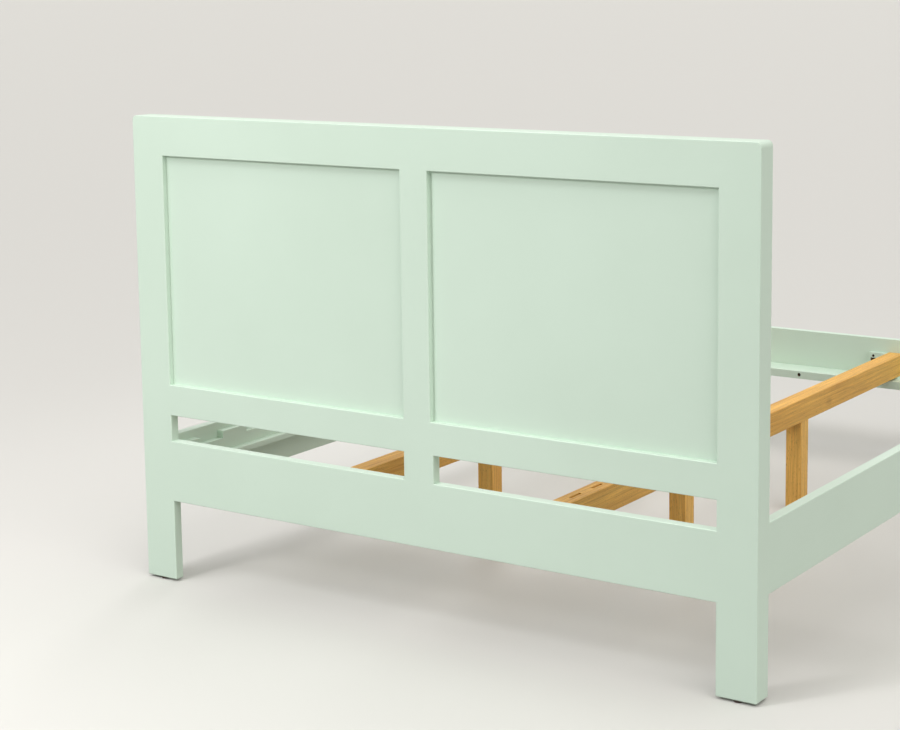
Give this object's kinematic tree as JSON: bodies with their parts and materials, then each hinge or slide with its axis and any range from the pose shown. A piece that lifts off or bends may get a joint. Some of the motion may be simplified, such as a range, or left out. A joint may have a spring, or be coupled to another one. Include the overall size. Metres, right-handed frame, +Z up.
{
  "type": "cane bed",
  "caption": "Low painted wooden bed frame with a framed panel headboard, cane webbing on its front, plain side rails and wooden middle beams on legs, ready for slats and a mattress.",
  "frame": {"origin": "on the floor, under the middle of the bed's outline", "axes": "+X to the right of someone who stands behind the headboard and looks at its back, +Y from the headboard to the foot, +Z up"},
  "size_m": [1.63, 2.1, 1.1275],
  "materials": {
    "mint_painted_wood": "satin mint-green paint",
    "oiled_hardwood": "oiled, honey brown",
    "woven_cane": "natural woven cane",
    "beech_dowel": "bare, turned",
    "zinc_plated_steel": "zinc plated",
    "black_steel": "black phosphated",
    "dark_brown_plastic": "matte moulded"
  },
  "bodies": {
    "root": {"head_post_left": "mint_painted_wood", "head_side_strip_left": "mint_painted_wood", "back_panel_left": "mint_painted_wood", "cane_bead_left": "mint_painted_wood", "cane_panel_left": "woven_cane", "foot_post_left": "mint_painted_wood", "foot_strip_left": "mint_painted_wood", "side_rail_left": "mint_painted_wood", "side_ledge_left": "mint_painted_wood", "slat_bar_left": "mint_painted_wood", "slat_blocks_left": "mint_painted_wood", "middle_beam_left": "oiled_hardwood", "beam_leg_left_head": "oiled_hardwood", "beam_leg_left_foot": "oiled_hardwood", "head_post_right": "mint_painted_wood", "head_side_strip_right": "mint_painted_wood", "back_panel_right": "mint_painted_wood", "cane_bead_right": "mint_painted_wood", "cane_panel_right": "woven_cane", "foot_post_right": "mint_painted_wood", "foot_strip_right": "mint_painted_wood", "side_rail_right": "mint_painted_wood", "side_ledge_right": "mint_painted_wood", "slat_bar_right": "mint_painted_wood", "slat_blocks_right": "mint_painted_wood", "middle_beam_right": "oiled_hardwood", "beam_leg_right_head": "oiled_hardwood", "beam_leg_right_foot": "oiled_hardwood", "head_top_rail": "mint_painted_wood", "head_mid_rail": "mint_painted_wood", "head_lower_rail": "mint_painted_wood", "head_centre_stile": "mint_painted_wood", "head_slot_stile": "mint_painted_wood", "head_top_strip": "mint_painted_wood", "foot_rail": "mint_painted_wood", "head_ledge": "mint_painted_wood", "foot_ledge": "mint_painted_wood", "head_beam_keepers": "mint_painted_wood", "foot_beam_keepers": "mint_painted_wood", "beam_packings": "mint_painted_wood", "head_post_glides": "dark_brown_plastic", "foot_post_glides": "dark_brown_plastic", "leg_glides": "dark_brown_plastic", "slot_plate_head_left": "zinc_plated_steel", "hook_plate_head_left": "zinc_plated_steel", "slot_plate_head_right": "zinc_plated_steel", "hook_plate_head_right": "zinc_plated_steel", "slot_plate_foot_left": "zinc_plated_steel", "hook_plate_foot_left": "zinc_plated_steel", "slot_plate_foot_right": "zinc_plated_steel", "hook_plate_foot_right": "zinc_plated_steel", "head_dowels": "beech_dowel", "foot_dowels": "beech_dowel", "leg_dowels": "beech_dowel", "side_ledge_screws": "zinc_plated_steel", "slot_plate_screws": "zinc_plated_steel", "hook_plate_screws": "zinc_plated_steel", "end_ledge_screws": "black_steel", "keeper_screws": "black_steel"}
  },
  "joints": []
}
